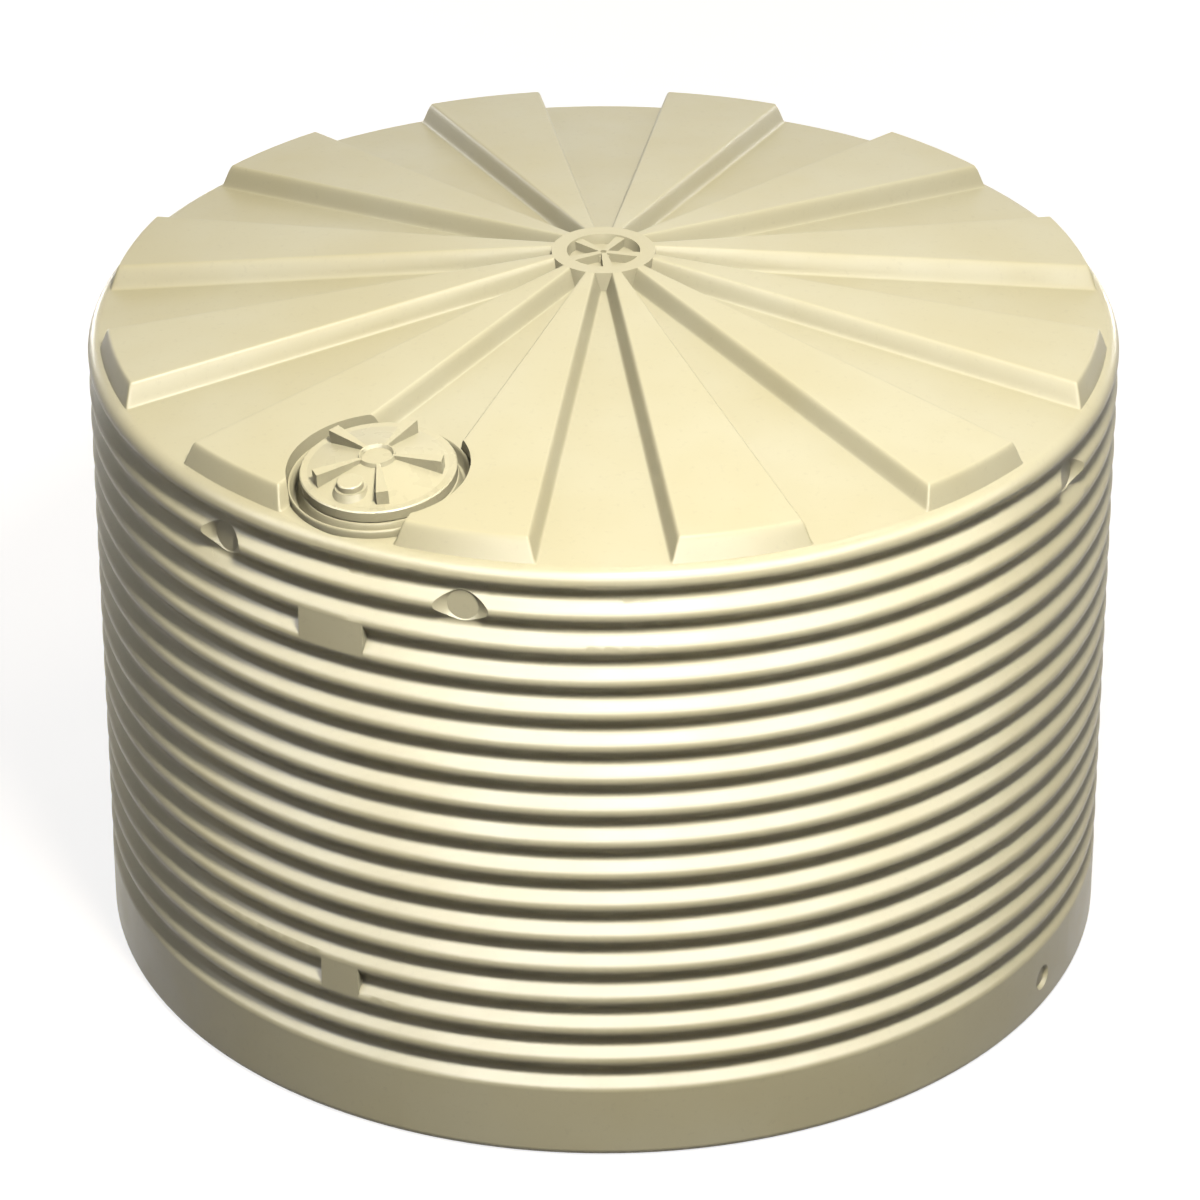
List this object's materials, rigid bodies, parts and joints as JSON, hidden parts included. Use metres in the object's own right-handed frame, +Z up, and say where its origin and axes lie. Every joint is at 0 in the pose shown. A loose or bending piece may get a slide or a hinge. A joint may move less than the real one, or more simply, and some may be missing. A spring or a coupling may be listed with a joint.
{
  "type": "round corrugated rainwater tank",
  "caption": "Round moulded plastic rainwater tank with a corrugated wall, a fluted cone roof with a centre hub, and a lift-off access lid.",
  "frame": {"origin": "centre of the round base, on the ground", "axes": "+Z up along the tank's axis, -Y towards the front of the picture, the access lid towards -Y and -X"},
  "size_m": [3.5, 3.5, 2.4948],
  "materials": {
    "tank_plastic": "cream rotation-moulded polyethylene, satin, with a very fine moulded grain",
    "lid_plastic": "the same cream polyethylene, slightly smoother"
  },
  "bodies": {
    "tank": {"floor": "tank_plastic", "wall_1": "tank_plastic", "wall_2": "tank_plastic", "wall_3": "tank_plastic", "wall_4": "tank_plastic", "wall_5": "tank_plastic", "wall_6": "tank_plastic", "wall_7": "tank_plastic", "wall_8": "tank_plastic", "wall_9": "tank_plastic", "wall_10": "tank_plastic", "wall_11": "tank_plastic", "wall_12": "tank_plastic", "round_flat_1": "tank_plastic", "round_flat_2": "tank_plastic", "round_flat_3": "tank_plastic", "outlet_flat": "tank_plastic", "pad_upper": "tank_plastic", "pad_lower": "tank_plastic", "roof_1": "tank_plastic", "roof_2": "tank_plastic", "roof_3": "tank_plastic", "roof_4": "tank_plastic", "roof_5": "tank_plastic", "roof_6": "tank_plastic", "roof_7": "tank_plastic", "roof_8": "tank_plastic", "roof_9": "tank_plastic", "roof_10": "tank_plastic", "roof_11": "tank_plastic", "roof_12": "tank_plastic", "hub_ring": "tank_plastic", "hub_cap": "tank_plastic", "lid_seat": "tank_plastic", "pocket_1": "tank_plastic", "pocket_2": "tank_plastic", "lid_neck": "tank_plastic"},
    "lid": {"lid": "lid_plastic", "lid_plug": "lid_plastic"}
  },
  "joints": [
    {"name": "lid_lift", "type": "slide", "parent": "tank", "child": "lid", "axis": [-0.062, -0.1074, 0.9923], "range_m": [0, 0.3]}
  ]
}
